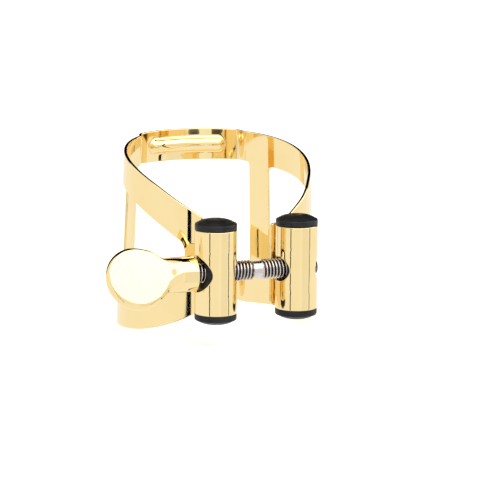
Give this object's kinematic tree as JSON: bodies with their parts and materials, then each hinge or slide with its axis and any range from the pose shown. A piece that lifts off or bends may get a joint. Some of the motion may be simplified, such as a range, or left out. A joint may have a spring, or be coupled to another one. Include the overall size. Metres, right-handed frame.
{
  "type": "saxophone ligature",
  "caption": "Metal saxophone ligature: tapered cut-out band with a reed channel, upright barrels and a two-way clamp screw turned by a round thumb paddle.",
  "frame": {"origin": "on the mouthpiece axis in the plane of the band's wide end", "axes": "+Z along the mouthpiece axis towards the narrow end, -Y to the clamp screw, +Y to the reed channel, -X to the thumb paddle"},
  "size_m": [0.0379, 0.0364, 0.0275],
  "materials": {
    "gold_plate": "polished gold plating",
    "cap_plastic": "satin moulded black",
    "screw_steel": "turned steel thread"
  },
  "bodies": {
    "rear_bridges": {"upper_bridge": "gold_plate", "lower_bridge": "gold_plate"},
    "left_frame": {"left_upper_riser": "gold_plate", "left_lower_riser": "gold_plate", "left_rail": "gold_plate", "left_upper_arm": "gold_plate", "left_lower_arm": "gold_plate", "left_front_web": "gold_plate", "left_barrel": "gold_plate", "left_top_cap": "cap_plastic", "left_bottom_cap": "cap_plastic"},
    "right_frame": {"right_upper_riser": "gold_plate", "right_lower_riser": "gold_plate", "right_rail": "gold_plate", "right_upper_arm": "gold_plate", "right_lower_arm": "gold_plate", "right_front_web": "gold_plate", "right_barrel": "gold_plate", "right_top_cap": "cap_plastic", "right_bottom_cap": "cap_plastic"},
    "left_nut": {"left_barrel_nut": "cap_plastic"},
    "right_nut": {"right_barrel_nut": "cap_plastic"},
    "thumb_screw": {"clamp_screw": "screw_steel", "thumb_paddle": "gold_plate"}
  },
  "joints": [
    {"name": "screw_turn", "type": "hinge", "parent": "rear_bridges", "child": "thumb_screw", "pos_m": [0, -0.01657, 0.01085], "axis": [1, 0, 0], "range_deg": [-360, 1800]},
    {"name": "left_flex", "type": "hinge", "parent": "rear_bridges", "child": "left_frame", "pos_m": [-0.00716, 0.01375, 0], "axis": [0, 0, 1], "range_deg": [-1, 4.8]},
    {"name": "right_flex", "type": "hinge", "parent": "rear_bridges", "child": "right_frame", "pos_m": [0.00716, 0.01375, 0], "axis": [0, 0, 1], "range_deg": [-4.8, 1]},
    {"name": "left_nut_turn", "type": "hinge", "parent": "left_frame", "child": "left_nut", "pos_m": [-0.00625, -0.01666, 0.01085], "axis": [0, 0, 1], "range_deg": [-4.8, 1]},
    {"name": "right_nut_turn", "type": "hinge", "parent": "right_frame", "child": "right_nut", "pos_m": [0.00625, -0.01666, 0.01085], "axis": [0, 0, 1], "range_deg": [-1, 4.8]}
  ],
  "couplings": [
    {"joint": "left_flex", "follows": "screw_turn", "ratio": 0.0026169},
    {"joint": "right_flex", "follows": "screw_turn", "ratio": -0.0026169},
    {"joint": "left_nut_turn", "follows": "screw_turn", "ratio": -0.0026169},
    {"joint": "right_nut_turn", "follows": "screw_turn", "ratio": 0.0026169}
  ]
}
